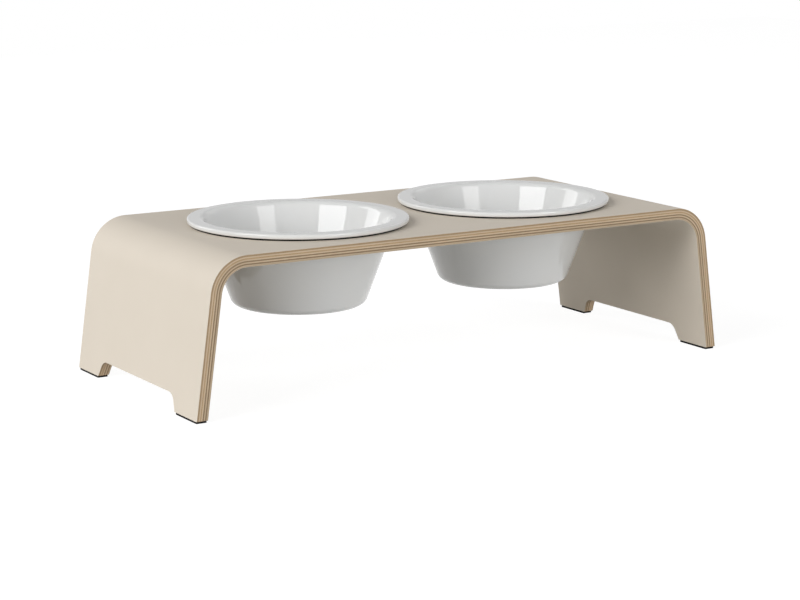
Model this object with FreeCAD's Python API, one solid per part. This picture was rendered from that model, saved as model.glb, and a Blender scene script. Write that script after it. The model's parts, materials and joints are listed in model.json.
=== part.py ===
import FreeCAD, Part
import math
import os

# Raised feeding station for a dog: a bench bent from one plywood panel, which carries two porcelain bowls.
# Lengths are in millimetres and angles in degrees.
# X runs along the bench from left to right, Y from front to back, and Z up from the floor.
# The origin is on the floor, under the middle of the bench.

# Bowls
neck_radius = 90.0  # outside of a bowl where it passes the bench's top face
flange_overhang = 12.9  # how far the rim stands out past the neck
rim_thickness = 4.7
rim_edge_radius = 1.8
lip_radius = 6.0  # round between the rim's top and the inside
flank_lean = 20.4  # lean of the side from upright
hang_depth = 75.8  # from the bench's top face down to the bowl's underside
wall_thickness = 4.5
base_thickness = 5.0
heel_radius = 8.4
inner_heel_radius = 14.0
neck_fillet = 1.0
foot_ring_width = 6.0
foot_ring_height = 1.5

# Damping rings between the rims and the bench
ring_thickness = 1.5
ring_setback = 0.5  # from the edge of the bench's hole
ring_cover = 0.7  # how far the rim's flat underside reaches past the ring

# Bench
bench_height = 143.2  # floor to top face
rim_gap = 22.9  # between the two rims
side_margin = 19.6  # from a rim to the front or back edge
end_margin = 15.9  # from a rim to the start of the bend
hole_clearance = 2.0  # round a bowl's neck
bend_radius = 35.8  # on the outer face
leg_splay = 8.0  # lean of the legs from upright
laminate_thickness = 0.7
veneer_thickness = 1.2
veneer_count = 8

# Feet
foot_length = 43.0  # front to back, along the underside
arch_rise = 15.2  # from the underside of the wood to the top of the arch
arch_lean = 26.0  # lean of the arch's sides from upright
arch_fillet = 10.0
foot_round = 0.8
pad_thickness = 2.0
pad_inset_across = 0.4  # from the wood's two faces
pad_inset_along = 1.5  # from the ends of the foot
pad_corner_radius = 1.0

# How far cutting shapes run past the wood
overrun = 5.0

# Worked-out sizes
flank_tan = math.tan(math.radians(flank_lean))
flank_cos = math.cos(math.radians(flank_lean))
splay = math.radians(leg_splay)
rim_radius = neck_radius + flange_overhang
bowl_x = rim_radius + rim_gap / 2
half_depth = rim_radius + side_margin
hole_radius = neck_radius + hole_clearance
bench_thickness = 2 * laminate_thickness + veneer_count * veneer_thickness
bend_x = bowl_x + rim_radius + end_margin
bend_z = bench_height - bend_radius
rim_underside = bench_height + ring_thickness
rim_top = rim_underside + rim_thickness
foot_inner_y = half_depth - foot_length


def line(start, end):
    return Part.LineSegment(start, end).toShape()


def arc(start, middle, end):
    return Part.Arc(start, middle, end).toShape()


def rounded_face(corners, place):
    """A flat face from (u, v, radius) corners in order; place turns (u, v) into a point in space."""
    starts, ends, edges = [], [], []
    for i, (u, v, radius) in enumerate(corners):
        corner = FreeCAD.Vector(u, v)
        before = FreeCAD.Vector(*corners[i - 1][:2]) - corner
        after = FreeCAD.Vector(*corners[(i + 1) % len(corners)][:2]) - corner
        before.normalize()
        after.normalize()
        half_angle = before.getAngle(after) / 2
        tangent = radius / math.tan(half_angle)
        starts.append(corner + before * tangent)
        ends.append(corner + after * tangent)
        if radius:
            bisector = (before + after).normalize()
            middle = corner + bisector * (radius / math.sin(half_angle) - radius)
            edges.append(arc(place(starts[-1]), place(middle), place(ends[-1])))
    for i in range(len(corners)):
        edges.append(line(place(ends[i - 1]), place(starts[i])))
    return Part.Face(Part.Wire(Part.__sortEdges__(edges)))


def leg_points(inset):
    """Right half of the surface that lies inset under the outer face: start, middle and end of bend, floor."""
    radius = bend_radius - inset
    angles = (math.pi / 2, (math.pi / 2 + splay) / 2, splay)
    points = [
        FreeCAD.Vector(bend_x + radius * math.cos(a), 0, bend_z + radius * math.sin(a))
        for a in angles
    ]
    return points + [FreeCAD.Vector(leg_x(inset, 0), 0, 0)]


def leg_x(inset, height):
    """Distance of a leg's surface from the middle of the bench, inset under its outer face, at a height."""
    radius = bend_radius - inset
    end_x = bend_x + radius * math.cos(splay)
    end_z = bend_z + radius * math.sin(splay)
    return end_x + (end_z - height) * math.tan(splay)


def bent_line(inset):
    """Edges of the bent surface from the left floor point over the top to the right one."""
    start, middle, end, floor = leg_points(inset)
    left = [FreeCAD.Vector(-p.x, p.y, p.z) for p in (start, middle, end, floor)]
    return [
        line(left[3], left[2]),
        arc(left[2], left[1], left[0]),
        line(left[0], start),
        arc(start, middle, end),
        line(end, floor),
    ]


def bench_trim():
    """The panel's outline seen from its end, with the foot arch and the two bowl holes, as one solid."""
    arch_top = pad_thickness + arch_rise
    arch_y = foot_inner_y - arch_rise * math.tan(math.radians(arch_lean))
    front = [
        (-half_depth, bench_height + overrun, 0),
        (-half_depth, pad_thickness, foot_round),
        (-foot_inner_y, pad_thickness, foot_round),
        (-arch_y, arch_top, arch_fillet),
    ]
    back = [(-y, z, radius) for y, z, radius in reversed(front)]
    reach = leg_x(0, 0) + overrun
    outline = rounded_face(front + back, lambda p: FreeCAD.Vector(-reach, p.x, p.y))
    solid = outline.extrude(FreeCAD.Vector(2 * reach, 0, 0))
    for side in (-1, 1):
        base = FreeCAD.Vector(side * bowl_x, 0, bend_z)
        solid = solid.cut(Part.makeCylinder(hole_radius, bend_radius + 2 * overrun, base))
    return solid


def bench_layer(inset, thickness, trim):
    """One bent layer of the panel, whose outer face lies inset under the bench's outer face."""
    outer, inner = bent_line(inset), bent_line(inset + thickness)
    closing = [
        line(outer[0].Vertexes[0].Point, inner[0].Vertexes[0].Point),
        line(outer[-1].Vertexes[-1].Point, inner[-1].Vertexes[-1].Point),
    ]
    face = Part.Face(Part.Wire(Part.__sortEdges__(outer + inner + closing)))
    face.translate(FreeCAD.Vector(0, -half_depth - overrun, 0))
    sheet = face.extrude(FreeCAD.Vector(0, 2 * (half_depth + overrun), 0))
    return sheet.common(trim).Solids[0]


def bench_layers():
    """Names and solids of the panel's layers, from the top laminate down to the one underneath."""
    names = ["top_laminate"]
    names += [f"veneer_{i + 1}" for i in range(veneer_count)]
    names += ["under_laminate"]
    trim = bench_trim()
    inset = 0
    layers = {}
    for name in names:
        thickness = veneer_thickness if name.startswith("veneer") else laminate_thickness
        layers[name] = bench_layer(inset, thickness, trim)
        inset += thickness
    return layers


def bowl(side):
    """A conical bowl with a flat rim, turned about its own axis."""
    underside = bench_height - hang_depth
    base_z = underside + foot_ring_height
    floor_z = base_z + base_thickness

    def outside(z):
        return neck_radius + (z - bench_height) * flank_tan

    def inside(z):
        return outside(z) - wall_thickness / flank_cos

    heel_tangent = heel_radius * math.tan(math.radians(90 - flank_lean) / 2)
    ring_inner = outside(underside) - heel_tangent - foot_ring_width
    section = [
        (0, base_z, 0),
        (ring_inner - foot_ring_height, base_z, 0),
        (ring_inner, underside, 0),
        (outside(underside), underside, heel_radius),
        (outside(rim_underside), rim_underside, neck_fillet),
        (rim_radius, rim_underside, rim_edge_radius),
        (rim_radius, rim_top, rim_edge_radius),
        (inside(rim_top), rim_top, lip_radius),
        (inside(floor_z), floor_z, inner_heel_radius),
        (0, floor_z, 0),
    ]
    face = rounded_face(section, lambda p: FreeCAD.Vector(p.x, 0, p.y))
    solid = face.revolve(FreeCAD.Vector(0, 0, 0), FreeCAD.Vector(0, 0, 1), 360)
    solid.translate(FreeCAD.Vector(side * bowl_x, 0, 0))
    return solid


def damping_ring(side):
    """A flat soft ring on the bench round a hole, under the bowl's rim."""
    base = FreeCAD.Vector(side * bowl_x, 0, bench_height)
    outer = Part.makeCylinder(rim_radius - rim_edge_radius - ring_cover, ring_thickness, base)
    inner = Part.makeCylinder(hole_radius + ring_setback, ring_thickness, base)
    return outer.cut(inner)


def foot_pad(side, end):
    """A flat soft pad under one foot; end is -1 at the front and 1 at the back."""
    near_x = leg_x(bench_thickness, pad_thickness) + pad_inset_across
    far_x = leg_x(0, pad_thickness) - pad_inset_across
    near_y = foot_inner_y + pad_inset_along
    far_y = half_depth - pad_inset_along
    corners = [
        (side * x, end * y, pad_corner_radius)
        for x, y in ((near_x, near_y), (far_x, near_y), (far_x, far_y), (near_x, far_y))
    ]
    return rounded_face(corners, lambda p: p).extrude(FreeCAD.Vector(0, 0, pad_thickness))


def main():
    os.makedirs("parts", exist_ok=True)
    nodes = bench_layers()
    for side_name, side in (("left", -1), ("right", 1)):
        nodes[f"{side_name}_bowl"] = bowl(side)
        nodes[f"{side_name}_damping_ring"] = damping_ring(side)
        for end_name, end in (("front", -1), ("back", 1)):
            nodes[f"{end_name}_{side_name}_foot_pad"] = foot_pad(side, end)
    for name, solid in nodes.items():
        print(f"{name}: valid {solid.isValid()}, solids {len(solid.Solids)}, {solid.Volume / 1000:.2f} cm3")
        solid.exportStep(f"parts/{name}.step")
    print(f"length {2 * leg_x(0, pad_thickness):.1f}, depth {2 * half_depth:.1f}, height {rim_top:.1f}")


main()
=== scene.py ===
# %% [markdown]
# # A raised feeding station for a dog
#
# A low bench, pressed from one plywood panel, carries two porcelain bowls in round holes. Its exact
# model comes packed as a frame, in metres. This lesson rebuilds each piece as a clean mesh at the
# size that the frame gives, and finishes it in the material of the real one.
#
# The frame's own meshes could be painted instead. But they are loose triangles, on which no edge can
# be eased and no grain can follow a bend, so the frame serves as the ruler.

# %% Load the frame and keep its parts
import json
import math

import bmesh
import bpy
from mathutils import Matrix, Vector


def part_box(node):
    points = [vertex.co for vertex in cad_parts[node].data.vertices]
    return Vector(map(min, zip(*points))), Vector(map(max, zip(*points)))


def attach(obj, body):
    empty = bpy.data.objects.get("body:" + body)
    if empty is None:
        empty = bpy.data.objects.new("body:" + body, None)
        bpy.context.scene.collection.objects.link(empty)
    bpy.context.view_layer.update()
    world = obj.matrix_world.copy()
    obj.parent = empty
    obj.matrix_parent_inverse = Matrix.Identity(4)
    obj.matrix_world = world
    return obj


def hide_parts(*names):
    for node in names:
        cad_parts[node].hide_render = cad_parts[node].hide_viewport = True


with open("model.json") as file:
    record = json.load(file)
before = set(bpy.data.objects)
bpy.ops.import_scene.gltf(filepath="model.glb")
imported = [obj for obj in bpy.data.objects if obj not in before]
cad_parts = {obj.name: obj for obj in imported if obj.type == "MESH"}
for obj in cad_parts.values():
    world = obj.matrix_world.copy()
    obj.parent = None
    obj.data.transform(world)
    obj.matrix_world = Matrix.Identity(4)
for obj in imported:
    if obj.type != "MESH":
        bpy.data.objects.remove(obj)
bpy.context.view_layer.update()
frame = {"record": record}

# %% [markdown]
# ## Sizes of the bench
#
# The bench is one long panel with a round bend at each end, whose legs splay outwards. The boxes
# around its layers give the height, the depth and the thicknesses. A box can't tell how round a bend
# or a hole is, so these few sizes are written out in millimetres. Where a bend starts follows from
# the others.

# %% Sizes of the bench
mm = 0.001
merge_distance = 0.01 * mm  # points of a mesh that lie closer than this are one

bench_low, bench_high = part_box("top_laminate")
bench_height = bench_high.z
half_depth = bench_high.y
foot_z = bench_low.z  # the wood ends here, on the foot pads
laminate_thickness = bench_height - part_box("veneer_1")[1].z
veneer_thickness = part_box("veneer_1")[1].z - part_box("veneer_2")[1].z

bend_radius = 35.8 * mm  # on the outer face
leg_splay = math.radians(8)  # lean of the legs from upright
bend_turn = math.pi / 2 - leg_splay
bend_z = bench_height - bend_radius
leg_drop = bend_z + bend_radius * math.sin(leg_splay) - foot_z
bend_x = bench_high.x - bend_radius * math.cos(leg_splay) - leg_drop * math.tan(leg_splay)

hole_radius = 92 * mm
foot_length = 43 * mm  # front to back
foot_round = 0.8 * mm
arch_rise = 15.2 * mm  # from the underside of the wood
arch_lean = math.radians(26)  # lean of the arch's sides from upright
arch_fillet = 10 * mm
print(f"panel: laminate {laminate_thickness / mm:.2f} mm, veneer {veneer_thickness / mm:.2f} mm")
print(f"the bends start {bend_x / mm:.2f} mm from the middle")

# %% [markdown]
# ## Sizes of the bowls
#
# Each bowl is a turned shape: a flat foot, a leaning side and a flat rim that rests on a soft ring.
# Its box gives its place, the rim's radius and the heights. The radii and the wall of its section are
# written out.

# %% Sizes of the bowls
bowl_low, bowl_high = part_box("right_bowl")
ring_low, ring_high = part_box("right_damping_ring")
bowl_x = (bowl_low.x + bowl_high.x) / 2
rim_radius = (bowl_high.x - bowl_low.x) / 2
rim_top = bowl_high.z
rim_underside = ring_high.z
bowl_underside = bowl_low.z

neck_radius = 90 * mm  # outside, at the height of the bench's top face
flank_lean = math.radians(20.4)  # lean of the side from upright
wall_thickness = 4.5 * mm
base_thickness = 5 * mm
heel_radius = 8.4 * mm
inner_heel_radius = 14 * mm
neck_fillet = 1 * mm
rim_edge_radius = 1.8 * mm
lip_radius = 6 * mm
foot_ring_width = 6 * mm
foot_ring_height = 1.5 * mm
foot_ring_round = 0.5 * mm  # on its two inner edges
print(f"bowls {bowl_x / mm:.2f} mm from the middle, rims {2 * rim_radius / mm:.1f} mm across")

# %% [markdown]
# ## Helpers for finishes
#
# Colours are given as sRGB codes, while shaders reckon in linear light, so one function turns
# the codes. A second function adds a node, sets its properties and fills its sockets with values or
# with links. Every finish starts from an empty node tree, and those of the object's pieces all end
# with the same shader.

# %% Colour and node helpers
def linear(code):
    """Linear red, green, blue and alpha of an sRGB code such as "#e6dccb"."""
    shares = [int(code[i : i + 2], 16) / 255 for i in (1, 3, 5)]
    return [s / 12.92 if s <= 0.04045 else ((s + 0.055) / 1.055) ** 2.4 for s in shares] + [1]


def add_node(tree, kind, inputs, **settings):
    """Adds a node; inputs maps socket names or numbers to values or to other nodes' outputs."""
    node = tree.nodes.new(kind)
    for name, value in settings.items():
        setattr(node, name, value)
    for socket, value in inputs.items():
        if isinstance(value, bpy.types.NodeSocket):
            tree.links.new(value, node.inputs[socket])
        else:
            node.inputs[socket].default_value = value
    return node


def empty_finish(name):
    """A material of that name and its empty node tree."""
    material = bpy.data.materials.new(name)
    material.use_nodes = True
    material.node_tree.nodes.clear()
    return material, material.node_tree


def end_finish(tree, surface):
    """Ends a finish with the shader for solid materials, whose inputs are those of surface."""
    shader = add_node(tree, "ShaderNodeBsdfPrincipled", surface)
    add_node(tree, "ShaderNodeOutputMaterial", {"Surface": shader.outputs[0]})


print("laminate beige in linear light:", [round(c, 3) for c in linear("#e6dccb")])

# %% [markdown]
# ## Laminate
#
# The bench is faced on both sides with high-pressure laminate: a thin beige decor paper on a core of
# brown kraft paper, soaked in resin and pressed against a matt plate. To the eye it is an even warm
# beige with a soft, broad sheen. Close up it has a fine pressed grit, and where it is cut the core
# shows as a narrow brown line.
#
# An even colour alone would look like plastic film. So wide clouds shift it very slightly, as paper
# does, a bump gives the grit, and the depth below the bench's two faces tells decor from core. All of
# them read the place on the flat sheet, which is stored on each sheet before it is bent.

# %% Laminate
cloud_size = 70 * mm
grit_size = 0.9 * mm  # the real grit is about 0.2 mm, which is too fine to show
grit_height = 0.02 * mm
decor_thickness = 0.15 * mm
inner_inset = bench_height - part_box("under_laminate")[1].z  # depth of the lower laminate's upper face
panel_thickness = inner_inset + laminate_thickness


def laminate_finish():
    """Matt high-pressure laminate in beige, with a brown core."""
    material, tree = empty_finish("matt_high_pressure_laminate")
    place = add_node(tree, "ShaderNodeAttribute", {}, attribute_name="flat_place").outputs["Vector"]
    clouds = add_node(tree, "ShaderNodeTexNoise", {"Vector": place, "Scale": 1 / cloud_size, "Detail": 3})
    beiges = {0: clouds.outputs["Fac"], 6: linear("#e6dcce"), 7: linear("#e1d7c8")}
    decor = add_node(tree, "ShaderNodeMix", beiges, data_type="RGBA")
    depth = add_node(tree, "ShaderNodeSeparateXYZ", {0: place})
    to_face = {0: depth.outputs["Z"], 1: panel_thickness / 2}
    from_face = add_node(tree, "ShaderNodeMath", to_face, operation="PINGPONG")
    below = {"Value": from_face.outputs[0], "From Min": decor_thickness, "From Max": 2 * decor_thickness}
    core = add_node(tree, "ShaderNodeMapRange", below)
    layers = {0: core.outputs[0], 6: decor.outputs[2], 7: linear("#b39f84")}
    colour = add_node(tree, "ShaderNodeMix", layers, data_type="RGBA")

    grit = add_node(tree, "ShaderNodeTexNoise", {"Vector": place, "Scale": 1 / grit_size, "Detail": 2})
    sheen = {"Value": grit.outputs["Fac"], "To Min": 0.55, "To Max": 0.65}
    roughness = add_node(tree, "ShaderNodeMapRange", sheen)
    relief = {"Height": grit.outputs["Fac"], "Distance": grit_height, "Strength": 0.5}
    bump = add_node(tree, "ShaderNodeBump", relief)
    surface = {
        "Base Color": colour.outputs[2],
        "Roughness": roughness.outputs[0],
        "Normal": bump.outputs[0],
        "Specular IOR Level": 0.2,
    }
    end_finish(tree, surface)
    return material


laminate = laminate_finish()
print(laminate.name, "has", len(laminate.node_tree.nodes), "nodes")

# %% [markdown]
# ## Veneers
#
# Under the laminate lie eight birch veneers, glued with their fibres crosswise in turn. Only their
# cut edges show. Where a cut runs along the fibres, the wood is pale and streaked. Where it runs
# across them, the pores are open: this end grain is darker and speckled. That is why the edge of
# plywood has stripes.
#
# Stripes could be painted on one block. Here each veneer is a sheet of its own, so one finish does
# it: noise that is drawn out along the fibres gives streaks on one cut and specks on the other by
# itself, and the surface's direction tells how much end grain shows. Glue darkens a thin line along
# both faces of each sheet.

# %% Veneer finish
fibre_length = 45 * mm
fibre_width = 0.5 * mm  # birch pores are about 0.1 mm wide, which is too fine to show
tone_length = 110 * mm
tone_width = 6 * mm
fibre_relief = 0.04 * mm
glue_reach = 0.12 * mm  # glue soaks about 0.1 mm into the wood, drawn a little wider to show


def veneer_finish(name, fibres_along_bench):
    """Birch veneer whose fibres run along the bench, or from front to back."""
    material, tree = empty_finish(name)
    place = add_node(tree, "ShaderNodeAttribute", {}, attribute_name="flat_place").outputs["Vector"]
    tone = add_node(tree, "ShaderNodeAttribute", {}, attribute_name="sheet_tone").outputs["Fac"]
    quarter_turn = 0 if fibres_along_bench else math.pi / 2
    turned = add_node(tree, "ShaderNodeMapping", {"Vector": place, "Rotation": (0, 0, quarter_turn)})

    fibre_scale = (1 / fibre_length, 1 / fibre_width, 1 / fibre_width)
    fibre_place = add_node(tree, "ShaderNodeMapping", {"Vector": turned.outputs[0], "Scale": fibre_scale})
    fibres = add_node(tree, "ShaderNodeTexNoise", {"Vector": fibre_place.outputs[0], "Scale": 1, "Detail": 3})
    tone_scale = (1 / tone_length, 1 / tone_width, 1 / tone_width)
    tone_place = add_node(tree, "ShaderNodeMapping", {"Vector": turned.outputs[0], "Scale": tone_scale})
    drift = add_node(tree, "ShaderNodeTexNoise", {"Vector": tone_place.outputs[0], "Scale": 1, "Detail": 2})

    outwards = add_node(tree, "ShaderNodeTexCoord", {}).outputs["Normal"]
    facing = add_node(tree, "ShaderNodeSeparateXYZ", {0: outwards})
    forwards = add_node(tree, "ShaderNodeMath", {0: facing.outputs["Y"]}, operation="ABSOLUTE")
    cut_along, cut_across = linear("#dcc5a7"), linear("#b09473")
    on_front = cut_along if fibres_along_bench else cut_across
    elsewhere = cut_across if fibres_along_bench else cut_along
    grain_colours = {0: forwards.outputs[0], 6: elsewhere, 7: on_front}
    wood = add_node(tree, "ShaderNodeMix", grain_colours, data_type="RGBA")

    usual = {"From Min": 0.3, "From Max": 0.7}  # where most of the noise lies
    streaks = {"Value": fibres.outputs["Fac"], **usual, "To Min": 0.82, "To Max": 1.08}
    streak = add_node(tree, "ShaderNodeMapRange", streaks)
    drifts = {"Value": drift.outputs["Fac"], **usual, "To Min": 0.94, "To Max": 1.05}
    drifting = add_node(tree, "ShaderNodeMapRange", drifts)
    depth = add_node(tree, "ShaderNodeSeparateXYZ", {0: place})
    below_laminate = {0: depth.outputs["Z"], 1: laminate_thickness}
    in_wood = add_node(tree, "ShaderNodeMath", below_laminate, operation="ADD")
    to_glue = {0: in_wood.outputs[0], 1: veneer_thickness / 2}
    from_glue = add_node(tree, "ShaderNodeMath", to_glue, operation="PINGPONG")
    soaked = {"Value": from_glue.outputs[0], "From Max": glue_reach, "To Min": 0.88, "To Max": 1}
    glue = add_node(tree, "ShaderNodeMapRange", soaked, interpolation_type="SMOOTHSTEP")

    shade = tone
    for factor in (streak, drifting, glue):
        both = {0: shade, 1: factor.outputs[0]}
        shade = add_node(tree, "ShaderNodeMath", both, operation="MULTIPLY").outputs[0]
    shaded = add_node(tree, "ShaderNodeVectorMath", {0: wood.outputs[2], "Scale": shade}, operation="SCALE")
    relief = {"Height": fibres.outputs["Fac"], "Distance": fibre_relief, "Strength": 0.6}
    bump = add_node(tree, "ShaderNodeBump", relief)
    surface = {
        "Base Color": shaded.outputs[0],
        "Roughness": 0.6,
        "Normal": bump.outputs[0],
        "Specular IOR Level": 0.3,
    }
    end_finish(tree, surface)
    return material


cross_veneer = veneer_finish("birch_veneer_across", fibres_along_bench=False)
long_veneer = veneer_finish("birch_veneer_along", fibres_along_bench=True)
print(cross_veneer.name, "and", long_veneer.name, "are ready")

# %% [markdown]
# ## Porcelain
#
# The bowls are white porcelain under a clear glaze, fired hard. The glaze is a skin of glass, so it
# mirrors the room sharply, at about four percent where it is seen straight on. It is never quite
# flat: it pools in slow waves, which bend the mirrored edges a little. A coat layer over a rough body
# could stand for it, but one smooth dielectric surface does the same with less.
#
# The ring that stands on the kiln shelf is wiped bare before firing, so it has a dull, gritty finish
# of its own.

# %% Porcelain finishes
glaze_wave = 28 * mm
glaze_wave_height = 0.03 * mm
biscuit_grit = 0.6 * mm  # the real grains are finer than 0.1 mm, drawn coarse enough to show
biscuit_relief = 0.05 * mm


def glazed_finish():
    """White porcelain under a clear, smooth glaze."""
    material, tree = empty_finish("glazed_porcelain")
    place = add_node(tree, "ShaderNodeTexCoord", {}).outputs["Object"]
    waves = add_node(tree, "ShaderNodeTexNoise", {"Vector": place, "Scale": 1 / glaze_wave, "Detail": 1})
    pooled = {0: waves.outputs["Fac"], 6: linear("#e6e6e4"), 7: linear("#e2e3e3")}
    colour = add_node(tree, "ShaderNodeMix", pooled, data_type="RGBA")
    gloss = {"Value": waves.outputs["Fac"], "To Min": 0.03, "To Max": 0.07}
    roughness = add_node(tree, "ShaderNodeMapRange", gloss)
    relief = {"Height": waves.outputs["Fac"], "Distance": glaze_wave_height, "Strength": 0.5}
    bump = add_node(tree, "ShaderNodeBump", relief)
    surface = {
        "Base Color": colour.outputs[2],
        "Roughness": roughness.outputs[0],
        "Normal": bump.outputs[0],
        "IOR": 1.5,
    }
    end_finish(tree, surface)
    return material


def biscuit_finish():
    """Bare fired porcelain, dull and a little gritty."""
    material, tree = empty_finish("biscuit_porcelain")
    place = add_node(tree, "ShaderNodeTexCoord", {}).outputs["Object"]
    grit = add_node(tree, "ShaderNodeTexNoise", {"Vector": place, "Scale": 1 / biscuit_grit, "Detail": 2})
    colours = {0: grit.outputs["Fac"], 6: linear("#dfdbd2"), 7: linear("#ebe8e1")}
    colour = add_node(tree, "ShaderNodeMix", colours, data_type="RGBA")
    bump = add_node(tree, "ShaderNodeBump", {"Height": grit.outputs["Fac"], "Distance": biscuit_relief})
    surface = {"Base Color": colour.outputs[2], "Roughness": 0.75, "Normal": bump.outputs[0], "IOR": 1.5}
    end_finish(tree, surface)
    return material


glazed, biscuit = glazed_finish(), biscuit_finish()
print(glazed.name, "and", biscuit.name, "are ready")

# %% [markdown]
# ## Rubber
#
# Soft black rings keep the rims from knocking on the bench, and soft pads keep the feet from sliding.
# Both are moulded rubber: nearly black, with a dull bloom that lightens it unevenly and a fine
# leathery grain. The rings are a little smoother than the pads, so one function makes both finishes.

# %% Rubber finishes
bloom_size = 12 * mm
rubber_grain = 0.5 * mm  # a moulded grain of about 0.3 mm, drawn coarser to show


def rubber_finish(name, roughness, grain_height):
    """Black moulded rubber with a dull bloom."""
    material, tree = empty_finish(name)
    place = add_node(tree, "ShaderNodeTexCoord", {}).outputs["Object"]
    bloom = add_node(tree, "ShaderNodeTexNoise", {"Vector": place, "Scale": 1 / bloom_size, "Detail": 4})
    colours = {0: bloom.outputs["Fac"], 6: linear("#141312"), 7: linear("#1d1b1a")}
    colour = add_node(tree, "ShaderNodeMix", colours, data_type="RGBA")
    grain = add_node(tree, "ShaderNodeTexVoronoi", {"Vector": place, "Scale": 1 / rubber_grain})
    bump = add_node(tree, "ShaderNodeBump", {"Height": grain.outputs["Distance"], "Distance": grain_height})
    surface = {
        "Base Color": colour.outputs[2],
        "Roughness": roughness,
        "Normal": bump.outputs[0],
        "Specular IOR Level": 0.1,
    }
    end_finish(tree, surface)
    return material


ring_rubber = rubber_finish("smooth_black_rubber", roughness=0.5, grain_height=0.02 * mm)
pad_rubber = rubber_finish("grained_black_rubber", roughness=0.7, grain_height=0.05 * mm)
print(ring_rubber.name, "and", pad_rubber.name, "are ready")

# %% [markdown]
# ## From a mesh in work to a finished piece
#
# Every piece ends the same way: its mesh becomes an object that stands for one node of the frame,
# rides on that node's body and takes its material slot. Round surfaces are shaded smooth and true
# corners stay sharp. A weighted normal modifier lets the large faces rule the shading, so a narrow
# eased edge doesn't tint the flat beside it.

# %% Finish a piece
corner_angle = math.radians(50)  # edges sharper than this stay sharp
node_body = {node: body for body, nodes in frame["record"]["behaviour"]["bodies"].items() for node in nodes}


def finish_piece(bm, name, node, materials):
    """Turns a mesh in work into the piece that stands for a node of the frame."""
    mesh = bpy.data.meshes.new(name)
    bm.to_mesh(mesh)
    bm.free()
    for material in materials:
        mesh.materials.append(material)
    mesh.shade_smooth()
    mesh.set_sharp_from_angle(angle=corner_angle)
    piece = bpy.data.objects.new(name, mesh)
    bpy.context.scene.collection.objects.link(piece)
    weighting = piece.modifiers.new("flat faces rule", "WEIGHTED_NORMAL")
    weighting.keep_sharp = True
    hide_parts(node)
    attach(piece, node_body[node])
    print(f"{name}: {len(mesh.polygons)} faces, rides on {node_body[node]}")


# %% [markdown]
# ## Rounding edges and corners
#
# Outlines and sections here are drawn with sharp corners and rounded afterwards, as a maker would
# dimension them. A bevel of a single vertex does that. It asks how far along the edges the arc
# starts, not for a radius, so the function works this out from the angle of the corner. Edges of a
# solid are rounded by the same bevel.

# %% Round edges and corners
def bevel(bm, geom, offset, segments, affect="EDGES"):
    """Rounds edges or vertices, with an arc that starts at that offset from them."""
    shape = {"offset_type": "OFFSET", "profile": 0.5, "material": -1}
    bmesh.ops.bevel(bm, geom=geom, offset=offset, segments=segments, affect=affect, **shape)


def round_corner(bm, corner, radius, segments):
    """Rounds the corner of an outline where two edges meet."""
    first, second = (edge.other_vert(corner).co - corner.co for edge in corner.link_edges)
    setback = radius / math.tan(first.angle(second) / 2)
    bevel(bm, [corner], setback, segments, affect="VERTICES")


# %% [markdown]
# ## The blank of a layer
#
# A laminate or veneer starts as a flat blank. Its outline could be cut from the bent bench with
# boolean solids, but on the flat sheet it is only a drawing. And a flat sheet knows where its grain
# runs.
#
# Half a blank is drawn and then mirrored. The panel is a rectangle with a circle inside, and a fill
# takes care of the area between. Its end edge is extruded in even strips, which will become the bend.
# The leg is one face, with two feet and the arch between them.

# %% Panel, strips and leg of half a blank
hole_steps = 160
bend_steps = 28
corner_steps = 6


def holed_panel(bm):
    """The flat part of the bench, right of its middle, with a round hole; returns its end edge."""
    ends = ((0, -half_depth), (bend_x, -half_depth), (bend_x, half_depth), (0, half_depth))
    corners = [bm.verts.new((x, y, 0)) for x, y in ends]
    sides = [bm.edges.new((corners[i - 1], corners[i])) for i in range(4)]
    middle = Matrix.Translation((bowl_x, 0, 0))
    bmesh.ops.create_circle(bm, segments=hole_steps, radius=hole_radius, matrix=middle)
    bmesh.ops.triangle_fill(bm, edges=bm.edges[:], use_beauty=True, normal=(0, 0, 1))
    return sides[2]


def add_strip(bm, edge, width):
    """Extrudes an edge along the bench and returns the new edge."""
    made = bmesh.ops.extrude_edge_only(bm, edges=[edge])["geom"]
    verts = [item for item in made if isinstance(item, bmesh.types.BMVert)]
    bmesh.ops.translate(bm, verts=verts, vec=(width, 0, 0))
    return bm.edges.get(verts)


def add_leg(bm, edge, length):
    """Adds the leg as one face below the bend's last edge, with two feet and an arch."""
    front, back = sorted(edge.verts, key=lambda vert: vert.co.y)
    foot_x = front.co.x + length
    arch_x = foot_x - arch_rise / math.cos(leg_splay)
    foot_inner = half_depth - foot_length
    arch_end = foot_inner - arch_rise * math.tan(arch_lean)
    half = [(foot_x, half_depth), (foot_x, foot_inner), (arch_x, arch_end)]
    corners = [bm.verts.new((x, -y, 0)) for x, y in half] + [bm.verts.new((x, y, 0)) for x, y in half[::-1]]
    bm.faces.new([front, *corners, back])
    rounds = [foot_round, foot_round, arch_fillet]
    for corner, radius in zip(corners, rounds + rounds[::-1]):
        round_corner(bm, corner, radius, corner_steps)


# %% [markdown]
# ## Bending a layer
#
# The press bends each layer round the one below it, so the further in a layer lies, the smaller its
# radius and the shorter its blank. Blender has a bend modifier, but it can't keep the middle flat or
# cut the feet level with the floor. A small function does: it gives the place of any point of the
# blank after the bend. On the leg it shares out the drop to the floor, so that every layer ends at
# the same height.

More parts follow.
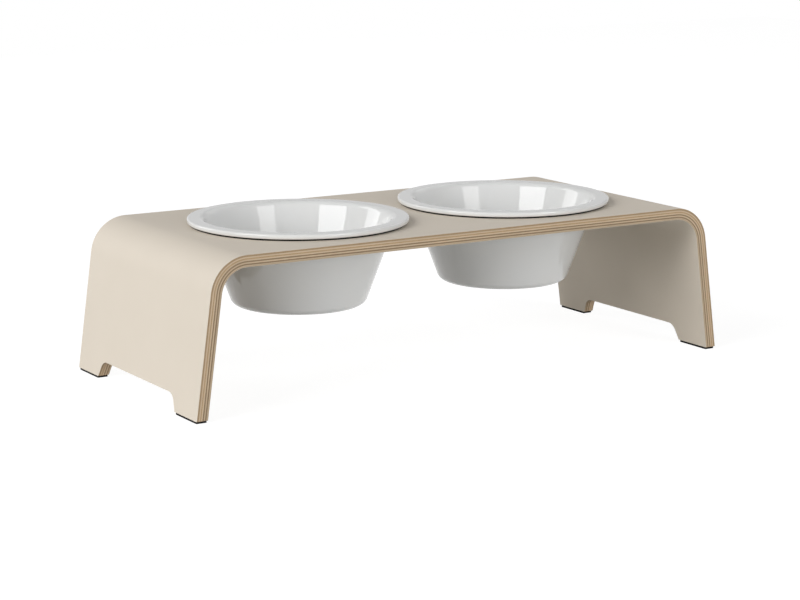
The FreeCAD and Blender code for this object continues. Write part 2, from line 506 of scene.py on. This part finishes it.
# %% Where a point of the blank goes
def bent(place, inset):
    """Place on the bench of a point on a blank, whose outer face lies inset under the bench's outer face."""
    depth = inset - place.z
    past = abs(place.x) - bend_x
    if past <= 0:
        return Vector((place.x, place.y, bench_height - depth))
    bend_length = (bend_radius - inset) * bend_turn
    turn = min(past / bend_length, 1) * bend_turn
    x = bend_x + (bend_radius - depth) * math.sin(turn)
    z = bend_z + (bend_radius - depth) * math.cos(turn)
    drop = max(past - bend_length, 0) / leg_length(inset) * (z - foot_z)
    return Vector((math.copysign(x + drop * math.tan(leg_splay), place.x), place.y, z - drop))


def leg_length(inset):
    """Length of a leg below the bend, on the face that lies inset under the bench's outer face."""
    return (bend_z + (bend_radius - inset) * math.sin(leg_splay) - foot_z) / math.cos(leg_splay)


# %% [markdown]
# ## Pressing the layers
#
# Now every layer is made by one function: draw half the blank, mirror it, give it its thickness, ease
# the outer edge of the two laminates, note each point's place on the flat sheet, and bend it. No two
# veneers are cut from the same log, so each sheet also gets a tone of its own, a little darker
# towards the inside of this bench.

# %% One layer of the bench
eased_edge = 0.2 * mm
sheet_tones = [0.96, 0.92, 1.18, 0.94, 0.71, 0.91, 0.67, 0.81]


def mirrored_blank(inset):
    """The whole flat blank of a layer as a sheet without thickness, facing up."""
    bm = bmesh.new()
    edge = holed_panel(bm)
    for _ in range(bend_steps):
        edge = add_strip(bm, edge, (bend_radius - inset) * bend_turn / bend_steps)
    add_leg(bm, edge, leg_length(inset))
    half = bm.verts[:] + bm.edges[:] + bm.faces[:]
    bmesh.ops.mirror(bm, geom=half, axis="X", merge_dist=merge_distance)
    bmesh.ops.remove_doubles(bm, verts=bm.verts[:], dist=merge_distance)
    bm.normal_update()
    bmesh.ops.reverse_faces(bm, faces=[face for face in bm.faces if face.normal.z < 0])
    return bm


def ease_edges(bm, height):
    """Rounds the sharp edges of the sheet's face at that height."""
    level = {vert for vert in bm.verts if abs(vert.co.z - height) < merge_distance}
    corners = [edge for edge in bm.edges if edge.calc_face_angle() > corner_angle]
    arrises = [edge for edge in corners if level.issuperset(edge.verts)]
    bevel(bm, arrises, eased_edge, segments=2)


def press_layer(inset, thickness, tone=1, eased_height=None):
    """One layer of the bench, bent to shape."""
    bm = mirrored_blank(inset)
    bmesh.ops.solidify(bm, geom=bm.faces[:], thickness=thickness)
    if eased_height is not None:
        ease_edges(bm, eased_height)
    flat_place = bm.verts.layers.float_vector.new("flat_place")
    sheet_tone = bm.verts.layers.float.new("sheet_tone")
    for vert in bm.verts:
        vert[flat_place] = vert.co - Vector((0, 0, inset))
        vert[sheet_tone] = tone
        vert.co = bent(vert.co, inset)
    return bm


# %% Press the two laminates
top_sheet = press_layer(0, laminate_thickness, eased_height=0)
under_sheet = press_layer(inner_inset, laminate_thickness, eased_height=-laminate_thickness)
finish_piece(top_sheet, "top_laminate_sheet", "top_laminate", [laminate])
finish_piece(under_sheet, "under_laminate_sheet", "under_laminate", [laminate])

# %% Press the eight veneers
for number, tone in enumerate(sheet_tones, start=1):
    inset = laminate_thickness + (number - 1) * veneer_thickness
    sheet = press_layer(inset, veneer_thickness, tone)
    crosswise = number % 2 == 1
    finish = cross_veneer if crosswise else long_veneer
    finish_piece(sheet, f"veneer_{number}_sheet", f"veneer_{number}", [finish])

# %% [markdown]
# ## Bowls
#
# A potter jiggers such a bowl on a wheel: a shaped blade stands still and the clay turns under it.
# Spin does the same to a drawn half section. A cone and a cylinder could be joined instead, but the
# eye knows porcelain by its soft heel, lip and rim, and in a section each of these is just one
# rounded corner.
#
# The straight runs are divided, so that no face is long and thin, and the seam and the two middle
# points are merged. Only then are the normals recalculated.

# %% Half section of a bowl
section_step = 5 * mm
arc_steps = 12
turn_steps = 192


def bowl_section(bm):
    """Draws the half section, from the middle of the underside round the rim to the middle of the inside."""
    base_z = bowl_underside + foot_ring_height
    floor_z = base_z + base_thickness

    def outside(z):
        return neck_radius + (z - bench_height) * math.tan(flank_lean)

    def inside(z):
        return outside(z) - wall_thickness / math.cos(flank_lean)

    heel_setback = heel_radius * math.tan((math.pi / 2 - flank_lean) / 2)
    foot_ring_inner = outside(bowl_underside) - heel_setback - foot_ring_width
    corners = [
        (0, base_z, 0),
        (foot_ring_inner - foot_ring_height, base_z, foot_ring_round),
        (foot_ring_inner, bowl_underside, foot_ring_round),
        (outside(bowl_underside), bowl_underside, heel_radius),
        (outside(rim_underside), rim_underside, neck_fillet),
        (rim_radius, rim_underside, rim_edge_radius),
        (rim_radius, rim_top, rim_edge_radius),
        (inside(rim_top), rim_top, lip_radius),
        (inside(floor_z), floor_z, inner_heel_radius),
        (0, floor_z, 0),
    ]
    verts = [bm.verts.new((x, 0, z)) for x, z, _ in corners]
    for start, end in zip(verts, verts[1:]):
        bm.edges.new((start, end))
    for vert, (_, _, radius) in zip(verts, corners):
        if radius:
            round_corner(bm, vert, radius, arc_steps)


# %% Turn the bowls
bare_height = 0.1 * mm  # the glaze is wiped off below this height over the kiln shelf


def turn_section(bm, middle_x):
    """Spins a half section once round an axis that stands at middle_x, into a closed skin."""
    outline = bm.verts[:] + bm.edges[:]
    bmesh.ops.spin(bm, geom=outline, axis=(0, 0, 1), angle=2 * math.pi, steps=turn_steps, use_merge=True)
    bmesh.ops.remove_doubles(bm, verts=bm.verts[:], dist=merge_distance)
    bmesh.ops.recalc_face_normals(bm, faces=bm.faces[:])
    bmesh.ops.translate(bm, verts=bm.verts[:], vec=(middle_x, 0, 0))


def turned_bowl(middle_x):
    """A bowl, spun from its half section, whose axis stands at middle_x."""
    bm = bmesh.new()
    bowl_section(bm)
    for edge in bm.edges[:]:
        cuts = int(edge.calc_length() / section_step)
        if cuts:
            bmesh.ops.subdivide_edges(bm, edges=[edge], cuts=cuts)
    turn_section(bm, middle_x)
    for face in bm.faces:
        face.material_index = int(face.calc_center_median().z < bowl_underside + bare_height)
    return bm


for side, middle_x in (("left", -bowl_x), ("right", bowl_x)):
    finish_piece(turned_bowl(middle_x), f"turned_{side}_bowl", f"{side}_bowl", [glazed, biscuit])

# %% [markdown]
# ## Damping rings
#
# A ring of soft rubber lies round each hole and carries the rim. It is cut from a tube, so its
# section is a small rectangle with corners that are hardly rounded. It is spun like the bowls, from a
# section of four corners.

# %% Damping rings
ring_outer = (ring_high.x - ring_low.x) / 2
ring_setback = 0.5 * mm  # from the edge of the hole
ring_inner = hole_radius + ring_setback
ring_round = 0.3 * mm


def damping_ring(middle_x):
    """A flat ring with a rectangular section, whose axis stands at middle_x."""
    bm = bmesh.new()
    places = [
        (ring_inner, ring_low.z),
        (ring_outer, ring_low.z),
        (ring_outer, ring_high.z),
        (ring_inner, ring_high.z),
    ]
    corners = [bm.verts.new((x, 0, z)) for x, z in places]
    for i in range(4):
        bm.edges.new((corners[i - 1], corners[i]))
    for corner in corners:
        round_corner(bm, corner, ring_round, segments=3)
    turn_section(bm, middle_x)
    return bm


for side, middle_x in (("left", -bowl_x), ("right", bowl_x)):
    ring = damping_ring(middle_x)
    finish_piece(ring, f"{side}_rubber_ring", f"{side}_damping_ring", [ring_rubber])

# %% [markdown]
# ## Foot pads
#
# Under each foot sticks a thin pad, die-cut from a rubber sheet: upright edges with rounded corners,
# and a lower edge that is worn round. A cube is scaled to the pad's box, and two bevels do the rest.

# %% Foot pads
pad_corner = 1 * mm
pad_wear = 0.25 * mm


def foot_pad(low, high):
    """A pad that fills the box from low to high, with rounded corners and a worn lower edge."""
    bm = bmesh.new()
    fit = Matrix.Translation((low + high) / 2) @ Matrix.Diagonal((*(high - low), 1))
    bmesh.ops.create_cube(bm, size=1, matrix=fit)
    upright = [edge for edge in bm.edges if abs(edge.verts[0].co.z - edge.verts[1].co.z) > pad_wear]
    bevel(bm, upright, pad_corner, segments=5)
    lower = [edge for edge in bm.edges if all(vert.co.z < low.z + merge_distance for vert in edge.verts)]
    bevel(bm, lower, pad_wear, segments=3)
    return bm


for end in ("front", "back"):
    for side in ("left", "right"):
        node = f"{end}_{side}_foot_pad"
        finish_piece(foot_pad(*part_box(node)), f"{end}_{side}_rubber_pad", node, [pad_rubber])

# %% [markdown]
# ## Floor and world
#
# The station is shown on a white ground that runs out into white. A very bright floor would do it,
# but its bounce would flood the object. So the floor and the world tell rays apart: what the camera
# or a mirroring surface sees is white, and what lights the object is a plain pale floor and a dim
# sky. The white floor keeps a part that is lit, so the object's soft shadow still shows. Above the
# horizon the white soon fades to a light grey, which the rims mirror.

# %% Seen rays
def seen_ray(tree):
    """A socket that is 1 for rays from the camera, a mirroring surface or a clear one, and otherwise 0."""
    path = add_node(tree, "ShaderNodeLightPath", {}).outputs
    either = {0: path["Is Camera Ray"], 1: path["Is Glossy Ray"]}
    mirrored = add_node(tree, "ShaderNodeMath", either, operation="MAXIMUM")
    either = {0: mirrored.outputs[0], 1: path["Is Transmission Ray"]}
    return add_node(tree, "ShaderNodeMath", either, operation="MAXIMUM").outputs[0]


# %% Floor
floor_size = 6
ground_glow = 0.9  # the part of the white that no shadow takes away


def ground_finish():
    """Pale ground that the camera sees as white, apart from the object's shadow."""
    material, tree = empty_finish("pale_studio_ground")
    pale = add_node(tree, "ShaderNodeBsdfDiffuse", {"Color": linear("#d0d0ce")})
    lit = add_node(tree, "ShaderNodeBsdfDiffuse", {"Color": linear("#898989")})
    glow = add_node(tree, "ShaderNodeEmission", {"Strength": ground_glow})
    white = add_node(tree, "ShaderNodeAddShader", {0: lit.outputs[0], 1: glow.outputs[0]})
    choice = {0: seen_ray(tree), 1: pale.outputs[0], 2: white.outputs[0]}
    mixed = add_node(tree, "ShaderNodeMixShader", choice)
    add_node(tree, "ShaderNodeOutputMaterial", {"Surface": mixed.outputs[0]})
    return material


bm = bmesh.new()
bmesh.ops.create_grid(bm, x_segments=1, y_segments=1, size=floor_size / 2)
floor_mesh = bpy.data.meshes.new("studio_floor")
bm.to_mesh(floor_mesh)
bm.free()
floor_mesh.materials.append(ground_finish())
floor = bpy.data.objects.new("studio_floor", floor_mesh)
bpy.context.scene.collection.objects.link(floor)
print("floor", floor_size, "m wide")

# %% World
sky_strength = 0.08  # what lights the object
backdrop_grey = 0.8  # what is seen high up, above the white
white_end, grey_start = 0, math.sin(math.radians(4))  # heights of a ray's direction between which it fades

world = bpy.data.worlds.new("studio")
bpy.context.scene.world = world
world.use_nodes = True
sky_tree = world.node_tree
sky_tree.nodes.clear()
direction = add_node(sky_tree, "ShaderNodeTexCoord", {}).outputs["Generated"]
rise = add_node(sky_tree, "ShaderNodeSeparateXYZ", {0: direction}).outputs["Z"]
heights = {"Value": rise, "From Min": white_end, "From Max": grey_start, "To Min": 1, "To Max": backdrop_grey}
fade = add_node(sky_tree, "ShaderNodeMapRange", heights)
dim = add_node(sky_tree, "ShaderNodeBackground", {"Color": linear("#ffffff"), "Strength": sky_strength})
bright = add_node(sky_tree, "ShaderNodeBackground", {"Color": linear("#ffffff"), "Strength": fade.outputs[0]})
choice = {0: seen_ray(sky_tree), 1: dim.outputs[0], 2: bright.outputs[0]}
backdrop = add_node(sky_tree, "ShaderNodeMixShader", choice)
add_node(sky_tree, "ShaderNodeOutputWorld", {"Surface": backdrop.outputs[0]})
print("sky strength", sky_strength)

# %% [markdown]
# ## Light
#
# Soft panels stand far off: a wide key on the left, a tall one behind on the left, a narrow one in
# front with a low bright one under it, and a faint fill behind on the right. The bowls mirror the
# first three as bright strips, which make the glaze look like glass, so those are placed by the
# direction from which the bowls mirror them. Every panel is sized by the angle that it fills, and its
# power follows from how bright it looks.

# %% Light panels
panel_distance = 6
aim = Vector((0, 0, bench_height))


def light_panel(name, azimuth, elevation, width, height, brightness):
    """A soft panel; angles in degrees, azimuth from the front to the right, a brightness of 1 is white."""
    turn, rise = math.radians(azimuth), math.radians(elevation)
    flat = math.cos(rise)
    direction = Vector((math.sin(turn) * flat, -math.cos(turn) * flat, math.sin(rise)))
    light = bpy.data.lights.new(name, "AREA")
    light.shape = "RECTANGLE"
    light.size = 2 * panel_distance * math.tan(math.radians(width / 2))
    light.size_y = 2 * panel_distance * math.tan(math.radians(height / 2))
    light.energy = 4 * brightness * light.size * light.size_y  # the renderer's watts for that brightness
    panel = bpy.data.objects.new(name, light)
    panel.location = aim + direction * panel_distance
    panel.rotation_euler = direction.to_track_quat("Z", "Y").to_euler()
    panel.visible_camera = False
    bpy.context.scene.collection.objects.link(panel)
    print(f"{name}: {light.size:.2f} x {light.size_y:.2f} m, {light.energy:.0f} W")


light_panel("key_panel", azimuth=-79, elevation=25, width=34, height=32, brightness=4.6)
light_panel("back_panel", azimuth=-144, elevation=26, width=24, height=38, brightness=2.3)
light_panel("front_panel", azimuth=15, elevation=27, width=21, height=24, brightness=2.7)
light_panel("low_front_panel", azimuth=15, elevation=8, width=21, height=14, brightness=8.4)
light_panel("fill_panel", azimuth=120, elevation=35, width=40, height=30, brightness=0.5)

# %% [markdown]
# ## Camera and view
#
# The camera stands to the left in front, a little above the rims, with a long lens from far away, as
# is usual for products: the lines stay nearly parallel. Colours are shown as they are, through the
# standard view.

# %% Camera
camera_data = bpy.data.cameras.new("camera")
camera_data.sensor_width = 36
camera_data.lens = 104.97
camera = bpy.data.objects.new("camera", camera_data)
camera.location = (-1.15404, -1.86192, 0.50258)
camera.rotation_euler = (math.radians(90 - 11.483), 0, math.radians(-31.71))
bpy.context.scene.collection.objects.link(camera)
bpy.context.scene.camera = camera
bpy.context.scene.view_settings.view_transform = "Standard"
print("camera with a", camera_data.lens, "mm lens")
